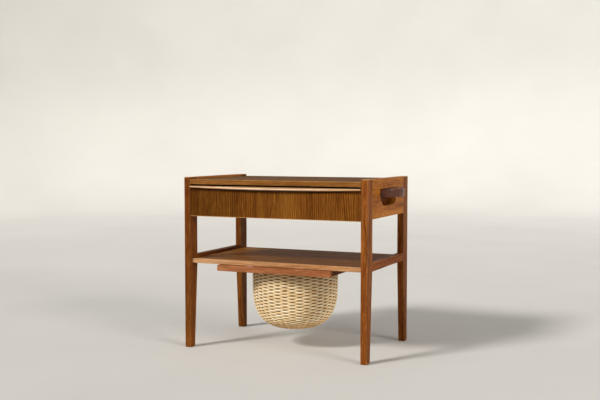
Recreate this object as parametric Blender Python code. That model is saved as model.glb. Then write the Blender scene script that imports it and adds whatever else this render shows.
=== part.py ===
"""Teak sewing table: two gables carry a top, a drawer with a sliding thread tray,
a shelf, and a round wicker basket that pulls out on a slide below the shelf.

Metres, +X to the right, +Y to the back, +Z up, standing on Z = 0.
"""
import math

import bmesh
import bpy
from mathutils import Matrix, Vector

# ---------------------------------------------------------------- driving dimensions
TABLE_WIDTH = 0.600         # over the two gables
TABLE_DEPTH = 0.380         # over the front and rear legs
TABLE_HEIGHT = 0.530        # floor to the top of the gables

TOUCH = 0.0003              # gap left between pieces that touch
EASE = 0.0008               # eased edge on every board
WORN = 0.0020               # rounder edge where hands and feet wear the wood
WORN_STEPS = 3
SEAM_WEAR = 0.2             # share of that rounding along a flush seam
LIPPING_WEAR = 0.8          # share of it along the outer arrises of the edging strips
CUT_SPARE = 0.005           # how far a cutting shape runs past the wood's face
ROUND_SIDES = 12            # sides of a dowel or a screw

GABLE_THICKNESS = 0.020     # legs, side panels and side rails are one thickness
LEG_DEPTH = 0.044
LEG_FOOT_DEPTH = 0.026
SIDE_PANEL_HEIGHT = 0.1155
PANEL_TONGUE = 0.008
PANEL_TONGUE_THICKNESS = 0.007
PANEL_TONGUE_SHOULDER = 0.014

SIDE_RAIL_BOTTOM = 0.263
SIDE_RAIL_HEIGHT = 0.0245
TENON_LENGTH = 0.022
TENON_THICKNESS = 0.008
TENON_SHOULDER = 0.004

TOP_THICKNESS = 0.015
TOP_BELOW_GABLE = 0.0065
LIPPING_WIDTH = 0.008

BACK_THICKNESS = 0.010
BACK_INSET = 0.004
BACK_GROOVE = 0.006

SHELF_THICKNESS = 0.014
SHELF_ABOVE_RAIL_BOTTOM = 0.001
SHELF_FRONT_INSET = 0.011
SHELF_REAR_INSET = 0.012

DOWEL_RADIUS = 0.003
DOWEL_LENGTH = 0.024
DOWEL_HOLE_END_PLAY = 0.0005
SHELF_DOWEL_SPACING = 0.220

SCREW_HEAD_RADIUS = 0.0040
SCREW_SHANK_RADIUS = 0.0018
SCREW_HEAD_DEPTH = 0.0030
SCREW_HEAD_LAND = 0.0004
SCREW_TIP = 0.003
SCREW_INTO_WOOD = 0.010

GRIP_HOLE_WIDTH = 0.160
GRIP_HOLE_HEIGHT = 0.053
GRIP_HOLE_CORNER = 0.044
GRIP_HOLE_CORNER_STEPS = 8
GRIP_HOLE_BELOW_TOP = 0.0295
GRIP_HEIGHT = 0.027
GRIP_WIDTH = 0.132
GRIP_STAND_OUT = 0.046
GRIP_SEAT_DEPTH = 0.014
GRIP_ROUND = 0.005
GRIP_ROUND_STEPS = 3
GRIP_BOW_STEPS = 20

DRAWER_TOP_GAP = 0.005
DRAWER_SIDE_GAP = 0.001
DRAWER_SETBACK = 0.001
DRAWER_FRONT_BELOW_PANEL = 0.0045
DRAWER_FRONT_THICKNESS = 0.018
DRAWER_SIDE_THICKNESS = 0.012
DRAWER_SIDE_PLAY = 0.0015
DRAWER_SIDE_BELOW_FRONT_TOP = 0.0005
DRAWER_BACK_THICKNESS = 0.010
DRAWER_BACK_BELOW_SIDE = 0.005
DRAWER_BACK_FROM_END = 0.006
DRAWER_END_PLAY = 0.0006
DRAWER_BOTTOM_THICKNESS = 0.004
DRAWER_BOTTOM_RAISED = 0.006
DRAWER_BOTTOM_GROOVE = 0.005
DOVETAIL_COUNT = 3
DOVETAIL_LENGTH = 0.012
DOVETAIL_END_WIDTH = 0.015
DOVETAIL_ROOT_WIDTH = 0.011
DOVETAIL_MOUTH_SPARE = 0.002

RUNNER_WIDTH = 0.016
RUNNER_HEIGHT = 0.010
RUNNER_FRONT_INSET = 0.030
RUNNER_PLAY = 0.0005
RUNNER_SCREW_SPACING = 0.220

LIP_STAND_OUT = 0.012
LIP_END_STAND_OUT = 0.005
LIP_HEIGHT = 0.0105
LIP_END_HEIGHT = 0.0045
LIP_STATIONS = 32
LIP_NOSE_STEPS = 8
LIP_NOSE_SHARE = 0.6        # share of the lip's depth that its rounded front takes
LIP_FOOT_ROUND = 0.0012
LIP_FOOT_STEPS = 3
LIP_SMOOTH_ANGLE = 50

TRAY_LENGTH = 0.240
TRAY_HEIGHT = 0.028
TRAY_BOARD = 0.006
TRAY_BOTTOM_THICKNESS = 0.004
TRAY_PLAY = 0.0006
TRAY_BELOW_SIDE_TOP = 0.0047
TRAY_DIVIDER_BELOW_WALL = 0.004
TRAY_NOTCH_RADIUS = 0.012
TRAY_NOTCH_SIDES = 24
LEDGE_SIZE = 0.008
DIVIDER_THICKNESS = 0.006

SLIDE_BAR_HEIGHT = 0.0182
SLIDE_BAR_THICKNESS = 0.014
SLIDE_BAR_BELOW_SHELF = 0.0008
SLIDE_RUNNER_WIDTH = 0.024
SLIDE_RUNNER_LEDGE = 0.0040
SLIDE_RUNNER_REAR_INSET = 0.010
SLIDE_GROOVE_DEPTH = 0.010
SLIDE_PLAY = 0.0005
SLIDE_PLAY_ABOVE = 0.0009
SLIDE_SLAT_THICKNESS = 0.006
SLIDE_ARM_WIDTH = 0.0335
SLIDE_CROSS_FRONT_WIDTH = 0.0177
SLIDE_CROSS_REAR_WIDTH = 0.0373
SLIDE_SCREW_SPACING = 0.240
SLIDE_SCREW_BELOW_SHELF_TOP = 0.005

BASKET_RADIUS = 0.135
BASKET_WALL = 0.0075
BASKET_BOTTOM = 0.057
BASKET_SHOULDER = 0.215
BASKET_ROUNDNESS = 3.2
BASKET_BORDER_WIDTH = 0.010
BASKET_BORDER_HEIGHT = 0.0063
BASKET_BELOW_SHELF = 0.0009
BASKET_PASS = 0.003
BASKET_SIDES = 48
BASKET_RINGS = 14

# ---------------------------------------------------------------- worked-out places
HALF_WIDTH = TABLE_WIDTH / 2
HALF_DEPTH = TABLE_DEPTH / 2
INSIDE = HALF_WIDTH - GABLE_THICKNESS
BETWEEN_LEGS = HALF_DEPTH - LEG_DEPTH
SIDE_PANEL_BOTTOM = TABLE_HEIGHT - SIDE_PANEL_HEIGHT
TOP_UPPER = TABLE_HEIGHT - TOP_BELOW_GABLE
TOP_UNDER = TOP_UPPER - TOP_THICKNESS
BACK_REAR = HALF_DEPTH - BACK_INSET
BACK_FRONT = BACK_REAR - BACK_THICKNESS

SHELF_UNDER = SIDE_RAIL_BOTTOM + SHELF_ABOVE_RAIL_BOTTOM
SHELF_UPPER = SHELF_UNDER + SHELF_THICKNESS
SHELF_FRONT = -HALF_DEPTH + SHELF_FRONT_INSET
SHELF_REAR = HALF_DEPTH - SHELF_REAR_INSET

GRIP_HOLE_TOP = TABLE_HEIGHT - GRIP_HOLE_BELOW_TOP
GRIP_TOP = GRIP_HOLE_TOP - TOUCH
GRIP_BACK = HALF_WIDTH - GRIP_SEAT_DEPTH

DRAWER_FRONT_FACE = -HALF_DEPTH + DRAWER_SETBACK
DRAWER_FRONT_REAR = DRAWER_FRONT_FACE + DRAWER_FRONT_THICKNESS
DRAWER_FRONT_TOP = TOP_UNDER - DRAWER_TOP_GAP
DRAWER_FRONT_BOTTOM = SIDE_PANEL_BOTTOM - DRAWER_FRONT_BELOW_PANEL
DRAWER_FRONT_HALF = INSIDE - DRAWER_SIDE_GAP
RUNNER_TOP = SIDE_PANEL_BOTTOM + RUNNER_HEIGHT
DRAWER_SIDE_OUTSIDE = INSIDE - DRAWER_SIDE_PLAY
DRAWER_SIDE_INSIDE = DRAWER_SIDE_OUTSIDE - DRAWER_SIDE_THICKNESS
DRAWER_SIDE_BOTTOM = RUNNER_TOP + RUNNER_PLAY
DRAWER_SIDE_TOP = DRAWER_FRONT_TOP - DRAWER_SIDE_BELOW_FRONT_TOP
DRAWER_SIDE_END = BACK_FRONT - DRAWER_END_PLAY
DRAWER_BACK_REAR = DRAWER_SIDE_END - DRAWER_BACK_FROM_END
DRAWER_BACK_FRONT = DRAWER_BACK_REAR - DRAWER_BACK_THICKNESS
DRAWER_BOTTOM_UNDER = DRAWER_SIDE_BOTTOM + DRAWER_BOTTOM_RAISED
DRAWER_BOTTOM_UPPER = DRAWER_BOTTOM_UNDER + DRAWER_BOTTOM_THICKNESS
DOVETAIL_TIP = DRAWER_FRONT_REAR - DOVETAIL_LENGTH
DRAWER_INNER_FRONT = DRAWER_FRONT_REAR + TOUCH
DRAWER_INNER_REAR = DRAWER_BACK_FRONT - TOUCH
DRAWER_INNER_HALF = DRAWER_SIDE_INSIDE - TOUCH

TRAY_TOP = DRAWER_SIDE_TOP - TRAY_BELOW_SIDE_TOP
TRAY_UNDER = TRAY_TOP - TRAY_HEIGHT
TRAY_FLOOR = TRAY_UNDER + TRAY_BOTTOM_THICKNESS
LEDGE_UPPER = TRAY_UNDER - TOUCH
LEDGE_UNDER = LEDGE_UPPER - LEDGE_SIZE
TRAY_LEFT = -DRAWER_SIDE_INSIDE + TRAY_PLAY
TRAY_RIGHT = TRAY_LEFT + TRAY_LENGTH
TRAY_FRONT = DRAWER_FRONT_REAR + TRAY_PLAY
TRAY_REAR = DRAWER_BACK_FRONT - TRAY_PLAY

SLIDE_BAR_TOP = SHELF_UNDER - SLIDE_BAR_BELOW_SHELF
SLIDE_BAR_BOTTOM = SLIDE_BAR_TOP - SLIDE_BAR_HEIGHT
SLIDE_BAR_REAR = -HALF_DEPTH + SLIDE_BAR_THICKNESS
BORDER_TOP = SHELF_UNDER - BASKET_BELOW_SHELF
BORDER_BOTTOM = BORDER_TOP - BASKET_BORDER_HEIGHT
SLAT_TOP = BORDER_BOTTOM - TOUCH
SLAT_BOTTOM = SLAT_TOP - SLIDE_SLAT_THICKNESS
SLIDE_GROOVE_TOP = SLAT_TOP + SLIDE_PLAY_ABOVE
SLIDE_GROOVE_BOTTOM = SLAT_BOTTOM - SLIDE_PLAY
SLIDE_RUNNER_TOP = SHELF_UNDER - TOUCH
SLIDE_RUNNER_BOTTOM = SLIDE_GROOVE_BOTTOM - SLIDE_RUNNER_LEDGE
SLIDE_RUNNER_FRONT = SLIDE_BAR_REAR + SLIDE_PLAY
SLIDE_RUNNER_REAR = SHELF_REAR - SLIDE_RUNNER_REAR_INSET

BASKET_OPENING = BASKET_RADIUS + BASKET_PASS
ARM_OUTSIDE = BASKET_OPENING + SLIDE_ARM_WIDTH
SLIDE_RUNNER_INSIDE = ARM_OUTSIDE + SLIDE_PLAY - SLIDE_GROOVE_DEPTH
SLIDE_HALF = SLIDE_RUNNER_INSIDE + SLIDE_RUNNER_WIDTH
SLAT_FRONT = SLIDE_BAR_REAR + TOUCH
BASKET_Y = SLAT_FRONT + SLIDE_CROSS_FRONT_WIDTH + BASKET_OPENING
SLAT_REAR = BASKET_Y + BASKET_OPENING + SLIDE_CROSS_REAR_WIDTH

LIP_FRONT = DRAWER_FRONT_FACE - TOUCH - LIP_STAND_OUT
CENTRE_SHIFT = (-HALF_DEPTH - LIP_FRONT) / 2    # centres the whole table on the origin

SIDES = {"left": -1, "right": 1}
ENDS = {"front": -1, "rear": 1}


# ---------------------------------------------------------------- small helpers
def clear_scene():
    for old in list(bpy.data.objects):
        bpy.data.objects.remove(old, do_unlink=True)


def make_finish(name, colour, roughness, metallic=0.0):
    finish = bpy.data.materials.new(name)
    finish.use_nodes = True
    shader = finish.node_tree.nodes["Principled BSDF"]
    shader.inputs["Base Color"].default_value = (*colour, 1.0)
    shader.inputs["Roughness"].default_value = roughness
    shader.inputs["Metallic"].default_value = metallic
    finish.diffuse_color = (*colour, 1.0)
    return finish


def make_empty(name, place, parent=None):
    """An axis that moving pieces hang on; place is in the table's frame."""
    empty = bpy.data.objects.new(name, None)
    bpy.context.scene.collection.objects.link(empty)
    empty["place"] = tuple(place)
    empty.parent = parent
    origin = Vector(parent["place"]) if parent else Vector()
    empty.location = Vector(place) - origin
    return empty


def add_piece(name, shape, finish, parent, place):
    """Links a bmesh as one named piece; place is in the table's frame."""
    bmesh.ops.recalc_face_normals(shape, faces=shape.faces)
    mesh = bpy.data.meshes.new(name)
    shape.to_mesh(mesh)
    shape.free()
    mesh.materials.append(finish)
    piece = bpy.data.objects.new(name, mesh)
    bpy.context.scene.collection.objects.link(piece)
    piece.parent = parent
    piece.location = Vector(place) - Vector(parent["place"])
    return piece


def ease_edges(shape, width, steps=1, wanted=None):
    edges = [edge for edge in shape.edges if wanted is None or wanted(edge)]
    bmesh.ops.bevel(shape, geom=edges, offset=width, segments=steps, profile=0.5,
                    affect="EDGES", clamp_overlap=True)


def wear_edges(piece, wear):
    """Rounds each edge by the share of WORN that wear(first, second) gives for its two ends."""
    shape = bmesh.new()
    shape.from_mesh(piece.data)
    layer = shape.edges.layers.float.new("bevel_weight_edge")
    for edge in shape.edges:
        first, second = (vert.co for vert in edge.verts)
        edge[layer] = wear(first, second)
    shape.to_mesh(piece.data)
    shape.free()
    bevel = piece.modifiers.new("worn edges", "BEVEL")
    bevel.limit_method = "WEIGHT"
    bevel.width = WORN
    bevel.segments = WORN_STEPS


def lies_at(first, second, axis, value):
    """True if both ends of an edge have this value on this axis."""
    return abs(first[axis] - value) < 1e-6 and abs(second[axis] - value) < 1e-6


def block(size):
    shape = bmesh.new()
    bmesh.ops.create_cube(shape, size=1.0)
    bmesh.ops.scale(shape, vec=size, verts=shape.verts)
    return shape


def board(name, x, y, z, finish, parent, ease=EASE, steps=1):
    """A straight board between the given limits on each axis."""
    size = (x[1] - x[0], y[1] - y[0], z[1] - z[0])
    centre = ((x[0] + x[1]) / 2, (y[0] + y[1]) / 2, (z[0] + z[1]) / 2)
    shape = block(size)
    if ease:
        ease_edges(shape, ease, steps)
    return add_piece(name, shape, finish, parent, centre)


def prism(outline, thickness):
    """Extrudes an outline given in Y and Z along X, centred on X = 0."""
    shape = bmesh.new()
    corners = [shape.verts.new((-thickness / 2, y, z)) for y, z in outline]
    face = shape.faces.new(corners)
    grown = bmesh.ops.extrude_face_region(shape, geom=[face])
    moved = [item for item in grown["geom"] if isinstance(item, bmesh.types.BMVert)]
    bmesh.ops.translate(shape, vec=(thickness, 0, 0), verts=moved)
    bmesh.ops.recalc_face_normals(shape, faces=shape.faces)
    return shape


def turned(profile, sides):
    """Spins a closed profile of (radius, height) points about Z.

    A point with radius 0 becomes one vertex on the axis.
    """
    shape = bmesh.new()
    rings = []
    for radius, height in profile:
        if radius == 0:
            rings.append([shape.verts.new((0, 0, height))])
            continue
        ring = []
        for step in range(sides):
            angle = 2 * math.pi * step / sides
            ring.append(shape.verts.new((radius * math.cos(angle), radius * math.sin(angle), height)))
        rings.append(ring)
    for lower, upper in zip(rings, rings[1:]):
        for step in range(sides):
            after = (step + 1) % sides
            if len(lower) == 1 and len(upper) == 1:
                break
            if len(lower) == 1:
                shape.faces.new((lower[0], upper[after], upper[step]))
            elif len(upper) == 1:
                shape.faces.new((lower[step], lower[after], upper[0]))
            else:
                shape.faces.new((lower[step], lower[after], upper[after], upper[step]))
    return shape


def shade_round(piece, angle=35):
    piece.data.shade_smooth()
    piece.data.set_sharp_from_angle(angle=math.radians(angle))


def cut(piece, name, shape, place):
    """Cuts a shape out of a piece; place is in the table's frame."""
    bmesh.ops.recalc_face_normals(shape, faces=shape.faces)
    mesh = bpy.data.meshes.new(name)
    shape.to_mesh(mesh)
    shape.free()
    cutter = bpy.data.objects.new(name, mesh)
    bpy.context.scene.collection.objects.link(cutter)
    cutter.parent = piece.parent
    cutter.location = Vector(place) - Vector(piece.parent["place"])
    cutter.hide_render = True
    cutter.display_type = "WIRE"
    boolean = piece.modifiers.new(name, "BOOLEAN")
    boolean.operation = "DIFFERENCE"
    boolean.solver = "EXACT"
    boolean.object = cutter


def cut_box(piece, name, x, y, z):
    size = (x[1] - x[0], y[1] - y[0], z[1] - z[0])
    centre = ((x[0] + x[1]) / 2, (y[0] + y[1]) / 2, (z[0] + z[1]) / 2)
    cut(piece, name, block(size), centre)


def mirrored(limits, side):
    """Limits along X on the right-hand side, moved to the side asked for."""
    return tuple(sorted(side * limit for limit in limits))


def dowel_shape(growth=0.0, end_play=0.0):
    radius = DOWEL_RADIUS + growth
    half = DOWEL_LENGTH / 2 + end_play
    shape = turned(((0, -half), (radius, -half), (radius, half), (0, half)), ROUND_SIDES)
    bmesh.ops.rotate(shape, matrix=Matrix.Rotation(math.pi / 2, 3, "Y"), verts=shape.verts)
    return shape


def screw_shape(length, growth=0.0, end_play=0.0, head_room=0.0):
    """Countersunk screw pointing up +Z, its head face on Z = 0."""
    head = SCREW_HEAD_RADIUS + growth
    shank = SCREW_SHANK_RADIUS + growth
    profile = (
        (0, -head_room),
        (head, -head_room),
        (head, SCREW_HEAD_LAND),
        (shank, SCREW_HEAD_DEPTH),
        (shank, length - SCREW_TIP + end_play),
        (0, length + end_play),
    )
    return turned(profile, ROUND_SIDES)


# ---------------------------------------------------------------- gables
def leg_outline(end):
    """Outline in Y and Z: straight outside, tapering inside below the rail."""
    outside = end * HALF_DEPTH
    inside = end * BETWEEN_LEGS
    foot = end * (HALF_DEPTH - LEG_FOOT_DEPTH)
    return (
        (outside, 0.0),
        (foot, 0.0),
        (inside, SIDE_RAIL_BOTTOM),
        (inside, TABLE_HEIGHT),
        (outside, TABLE_HEIGHT),
    )


def make_leg(side_name, end_name, finish, table):
    side = SIDES[side_name]
    end = ENDS[end_name]
    shape = prism(leg_outline(end), GABLE_THICKNESS)
    middle = side * (HALF_WIDTH - GABLE_THICKNESS / 2)
    leg = add_piece(f"leg_{end_name}_{side_name}", shape, finish, table, (middle, 0, 0))

    def leg_wear(first, second):
        if lies_at(first, second, 1, end * BETWEEN_LEGS):
            return SEAM_WEAR
        on_foot = lies_at(first, second, 2, 0)
        on_top = lies_at(first, second, 2, TABLE_HEIGHT)
        on_outside = lies_at(first, second, 1, end * HALF_DEPTH)
        return 1.0 if on_foot or on_top or on_outside else SEAM_WEAR

    wear_edges(leg, leg_wear)

    mouth = BETWEEN_LEGS - CUT_SPARE
    half_tongue = PANEL_TONGUE_THICKNESS / 2 + TOUCH
    groove_y = mirrored((mouth, BETWEEN_LEGS + PANEL_TONGUE + TOUCH), end)
    groove_z = (SIDE_PANEL_BOTTOM + PANEL_TONGUE_SHOULDER - TOUCH,
                TABLE_HEIGHT - PANEL_TONGUE_SHOULDER + TOUCH)
    cut_box(leg, f"cut_groove_{end_name}_{side_name}",
            (middle - half_tongue, middle + half_tongue), groove_y, groove_z)

    half_tenon = TENON_THICKNESS / 2 + TOUCH
    mortise_y = mirrored((mouth, BETWEEN_LEGS + TENON_LENGTH + TOUCH), end)
    mortise_z = (SIDE_RAIL_BOTTOM + TENON_SHOULDER - TOUCH,
                 SIDE_RAIL_BOTTOM + SIDE_RAIL_HEIGHT - TENON_SHOULDER + TOUCH)
    cut_box(leg, f"cut_mortise_{end_name}_{side_name}",
            (middle - half_tenon, middle + half_tenon), mortise_y, mortise_z)

    cut(leg, f"cut_top_dowel_{end_name}_{side_name}", dowel_shape(TOUCH, DOWEL_HOLE_END_PLAY),
        top_dowel_place(side, end))
    if end_name == "rear":
        back_x = mirrored((INSIDE - CUT_SPARE, INSIDE + BACK_GROOVE), side)
        back_y = (BACK_FRONT - TOUCH, BACK_REAR + TOUCH)
        cut_box(leg, f"cut_back_groove_{side_name}", back_x, back_y,
                (SIDE_PANEL_BOTTOM - TOUCH, TOP_UNDER))


def tongued_outline(z_limits, tongue, shoulder):
    """Board outline in Y and Z with a tongue on its front and rear ends."""
    low, high = z_limits
    end = BETWEEN_LEGS - TOUCH
    tip = BETWEEN_LEGS + tongue
    return (
        (-end, low), (end, low),
        (end, low + shoulder), (tip, low + shoulder),
        (tip, high - shoulder), (end, high - shoulder),
        (end, high), (-end, high),
        (-end, high - shoulder), (-tip, high - shoulder),
        (-tip, low + shoulder), (-end, low + shoulder),
    )


def thin_tongues(piece, name, tongue, tongue_thickness, middle, z_limits):
    """Takes the cheeks off both tongues, leaving the named thickness."""
    half = tongue_thickness / 2
    for end_name, end in ENDS.items():
        y = mirrored((BETWEEN_LEGS - TOUCH, BETWEEN_LEGS + tongue + CUT_SPARE), end)
        z = (z_limits[0] - CUT_SPARE, z_limits[1] + CUT_SPARE)
        outer = (middle + half, middle + GABLE_THICKNESS)
        inner = (middle - GABLE_THICKNESS, middle - half)
        cut_box(piece, f"cut_{name}_{end_name}_outer", outer, y, z)
        cut_box(piece, f"cut_{name}_{end_name}_inner", inner, y, z)


def grip_hole_outline():
    """Hand hole in Y and Z: flat top, straight sides and large lower corners."""
    half = GRIP_HOLE_WIDTH / 2
    bottom = GRIP_HOLE_TOP - GRIP_HOLE_HEIGHT
    points = [(half, GRIP_HOLE_TOP), (-half, GRIP_HOLE_TOP)]
    for corner, start in ((-1, math.pi), (1, 1.5 * math.pi)):
        centre_y = corner * (half - GRIP_HOLE_CORNER)
        centre_z = bottom + GRIP_HOLE_CORNER
        for step in range(GRIP_HOLE_CORNER_STEPS + 1):
            angle = start + step * math.pi / 2 / GRIP_HOLE_CORNER_STEPS
            points.append((centre_y + GRIP_HOLE_CORNER * math.cos(angle),
                           centre_z + GRIP_HOLE_CORNER * math.sin(angle)))
    return points


def make_side_panel(side_name, finish, table):
    side = SIDES[side_name]
    middle = side * (HALF_WIDTH - GABLE_THICKNESS / 2)
    z_limits = (SIDE_PANEL_BOTTOM, TABLE_HEIGHT)
    outline = tongued_outline(z_limits, PANEL_TONGUE, PANEL_TONGUE_SHOULDER)
    shape = prism(outline, GABLE_THICKNESS)
    panel = add_piece(f"side_panel_{side_name}", shape, finish, table, (middle, 0, 0))

    def panel_wear(first, second):
        lengthwise = abs(first.x - second.x) < 1e-6
        if lengthwise and lies_at(first, second, 2, TABLE_HEIGHT):
            return 1.0
        return SEAM_WEAR if lengthwise and lies_at(first, second, 2, SIDE_PANEL_BOTTOM) else 0.0

    wear_edges(panel, panel_wear)
    thin_tongues(panel, f"panel_{side_name}", PANEL_TONGUE, PANEL_TONGUE_THICKNESS, middle, z_limits)
    hole = prism(grip_hole_outline(), GABLE_THICKNESS + 2 * CUT_SPARE)
    cut(panel, f"cut_grip_hole_{side_name}", hole, (middle, 0, 0))
    for number, place in enumerate(runner_screw_places(side), start=1):
        cut(panel, f"cut_panel_screw_{side_name}_{number}", runner_screw(side, TOUCH), place)


def make_side_rail(side_name, finish, table):
    side = SIDES[side_name]
    middle = side * (HALF_WIDTH - GABLE_THICKNESS / 2)
    z_limits = (SIDE_RAIL_BOTTOM, SIDE_RAIL_BOTTOM + SIDE_RAIL_HEIGHT)
    shape = prism(tongued_outline(z_limits, TENON_LENGTH, TENON_SHOULDER), GABLE_THICKNESS)
    rail = add_piece(f"side_rail_{side_name}", shape, finish, table, (middle, 0, 0))

    def rail_wear(first, second):
        lengthwise = abs(first.x - second.x) < 1e-6
        on_edge = any(lies_at(first, second, 2, limit) for limit in z_limits)
        return 1.0 if lengthwise and on_edge else 0.0

    wear_edges(rail, rail_wear)
    thin_tongues(rail, f"rail_{side_name}", TENON_LENGTH, TENON_THICKNESS, middle, z_limits)
    for end_name, end in ENDS.items():
        cut(rail, f"cut_rail_dowel_{side_name}_{end_name}", dowel_shape(TOUCH, DOWEL_HOLE_END_PLAY),
            shelf_dowel_place(side, end))


def grip_outline():
    """Half of the grip's plan: (out from the gable's seat, along Y)."""
    reach = GRIP_STAND_OUT + GRIP_SEAT_DEPTH
    half = GRIP_WIDTH / 2
    points = []
    for step in range(GRIP_BOW_STEPS + 1):
        angle = -math.pi / 2 + math.pi * step / GRIP_BOW_STEPS
        points.append((reach * math.cos(angle), half * math.sin(angle)))
    return points


def make_side_grip(side_name, finish, table):
    """Bowed grip: its back seats in the hand hole and its bow stands out from the gable."""
    side = SIDES[side_name]
    shape = bmesh.new()
    low = -GRIP_HEIGHT / 2
    corners = [shape.verts.new((side * out, along, low)) for out, along in grip_outline()]
    face = shape.faces.new(corners)
    grown = bmesh.ops.extrude_face_region(shape, geom=[face])
    moved = [item for item in grown["geom"] if isinstance(item, bmesh.types.BMVert)]
    bmesh.ops.translate(shape, vec=(0, 0, GRIP_HEIGHT), verts=moved)
    bmesh.ops.recalc_face_normals(shape, faces=shape.faces)

    def bowed_rim(edge):
        flat = abs(edge.verts[0].co.z - edge.verts[1].co.z) < 1e-6
        return flat and max(abs(vert.co.x) for vert in edge.verts) > 1e-4

    ease_edges(shape, GRIP_ROUND, GRIP_ROUND_STEPS, bowed_rim)
    place = (side * GRIP_BACK, 0, GRIP_TOP - GRIP_HEIGHT / 2)
    grip = add_piece(f"side_grip_{side_name}", shape, finish, table, place)
    shade_round(grip)


# ---------------------------------------------------------------- top, back and shelf
def top_dowel_place(side, end):
    return (side * INSIDE, end * (HALF_DEPTH - LEG_DEPTH / 2), TOP_UPPER - TOP_THICKNESS / 2)


def shelf_dowel_place(side, end):
    return (side * INSIDE, end * SHELF_DOWEL_SPACING / 2, SHELF_UPPER - SHELF_THICKNESS / 2)


def make_dowels(finish, table):
    for side_name, side in SIDES.items():
        for end_name, end in ENDS.items():
            for group, place in (("top", top_dowel_place), ("shelf", shelf_dowel_place)):
                dowel = add_piece(f"{group}_dowel_{end_name}_{side_name}", dowel_shape(), finish,
                                  table, place(side, end))
                shade_round(dowel)


def cut_dowel_holes(piece, name, place):
    for side_name, side in SIDES.items():
        for end_name, end in ENDS.items():
            cut(piece, f"cut_{name}_{end_name}_{side_name}", dowel_shape(TOUCH, DOWEL_HOLE_END_PLAY),
                place(side, end))


def make_lipping(name, x, y, z, outer_y, finish, table):
    """Solid edging, worn round on its outer arrises and sharp where it meets the panel."""
    strip = board(name, x, y, z, finish, table, 0)
    local_outer = outer_y - (y[0] + y[1]) / 2

    def lipping_wear(first, second):
        return LIPPING_WEAR if lies_at(first, second, 1, local_outer) else 0.0

    wear_edges(strip, lipping_wear)


def make_top(veneer, solid, table):
    x = (-INSIDE + TOUCH, INSIDE - TOUCH)
    z = (TOP_UNDER, TOP_UPPER)
    half = HALF_DEPTH - LIPPING_WIDTH - TOUCH
    panel = board("top_panel", x, (-half, half), z, veneer, table, 0)
    cut_dowel_holes(panel, "top_hole", top_dowel_place)
    for end_name, end in ENDS.items():
        y = mirrored((HALF_DEPTH - LIPPING_WIDTH, HALF_DEPTH), end)
        make_lipping(f"top_lipping_{end_name}", x, y, z, end * HALF_DEPTH, solid, table)


def make_back(veneer, table):
    half = INSIDE + BACK_GROOVE - TOUCH
    board("back_panel", (-half, half), (BACK_FRONT, BACK_REAR),
          (SIDE_PANEL_BOTTOM, TOP_UNDER - TOUCH), veneer, table)


def make_shelf(veneer, solid, table):
    x = (-INSIDE + TOUCH, INSIDE - TOUCH)
    z = (SHELF_UNDER, SHELF_UPPER)
    front = SHELF_FRONT + LIPPING_WIDTH
    rear = SHELF_REAR - LIPPING_WIDTH
    shelf = board("shelf_panel", x, (front + TOUCH, rear - TOUCH), z, veneer, table, 0)
    cut_dowel_holes(shelf, "shelf_hole", shelf_dowel_place)
    for side_name, side in SIDES.items():
        for number, place in enumerate(slide_screw_places(side), start=1):
            cut(shelf, f"cut_shelf_screw_{side_name}_{number}", slide_screw(TOUCH), place)
    make_lipping("shelf_lipping_front", x, (SHELF_FRONT, front), z, SHELF_FRONT, solid, table)
    make_lipping("shelf_lipping_rear", x, (rear, SHELF_REAR), z, SHELF_REAR, solid, table)


# ---------------------------------------------------------------- drawer runners
def runner_screw_places(side):
    inner_face = side * (INSIDE - TOUCH - RUNNER_WIDTH)
    height = SIDE_PANEL_BOTTOM + RUNNER_HEIGHT / 2
    return [(inner_face, end * RUNNER_SCREW_SPACING / 2, height) for end in ENDS.values()]


def runner_screw(side, growth=0.0):
    play = DOWEL_HOLE_END_PLAY if growth else 0.0
    shape = screw_shape(RUNNER_WIDTH + SCREW_INTO_WOOD, growth, play, CUT_SPARE if growth else 0.0)
    turn = Matrix.Rotation(side * math.pi / 2, 3, "Y")
    bmesh.ops.rotate(shape, matrix=turn, verts=shape.verts)
    return shape


def make_drawer_runners(wood, steel, table):
    for side_name, side in SIDES.items():
        x = mirrored((INSIDE - TOUCH - RUNNER_WIDTH, INSIDE - TOUCH), side)
        y = (-HALF_DEPTH + RUNNER_FRONT_INSET, BACK_FRONT - TOUCH)
        runner = board(f"drawer_runner_{side_name}", x, y, (SIDE_PANEL_BOTTOM, RUNNER_TOP), wood, table)
        for number, place in enumerate(runner_screw_places(side), start=1):
            cut(runner, f"cut_runner_screw_{side_name}_{number}", runner_screw(side, TOUCH), place)
            screw = add_piece(f"runner_screw_{side_name}_{number}", runner_screw(side), steel, table, place)
            shade_round(screw)


# ---------------------------------------------------------------- drawer
def dovetail_heights():
    pitch = (DRAWER_SIDE_TOP - DRAWER_SIDE_BOTTOM) / DOVETAIL_COUNT
    return [DRAWER_SIDE_BOTTOM + pitch * (number + 0.5) for number in range(DOVETAIL_COUNT)]


def dovetail_outline(height, growth=0.0):
    """One tail in Y and Z, wider at its tip; growth makes the matching socket."""
    root = DRAWER_FRONT_REAR
    tip = DOVETAIL_TIP - growth
    root_half = DOVETAIL_ROOT_WIDTH / 2 + growth
    tip_half = DOVETAIL_END_WIDTH / 2 + growth
    return ((root, height - root_half), (tip, height - tip_half),
            (tip, height + tip_half), (root, height + root_half))


def drawer_side_outline():
    """Side board in Y and Z, with its tails running forward into the drawer front."""
    shoulder = DRAWER_FRONT_REAR + TOUCH
    points = [(shoulder, DRAWER_SIDE_TOP), (DRAWER_SIDE_END, DRAWER_SIDE_TOP),
              (DRAWER_SIDE_END, DRAWER_SIDE_BOTTOM), (shoulder, DRAWER_SIDE_BOTTOM)]
    for height in dovetail_heights():
        tail = list(dovetail_outline(height))
        tail[0] = (shoulder, tail[0][1])
        tail[3] = (shoulder, tail[3][1])
        points.extend(tail)
    return points


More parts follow.
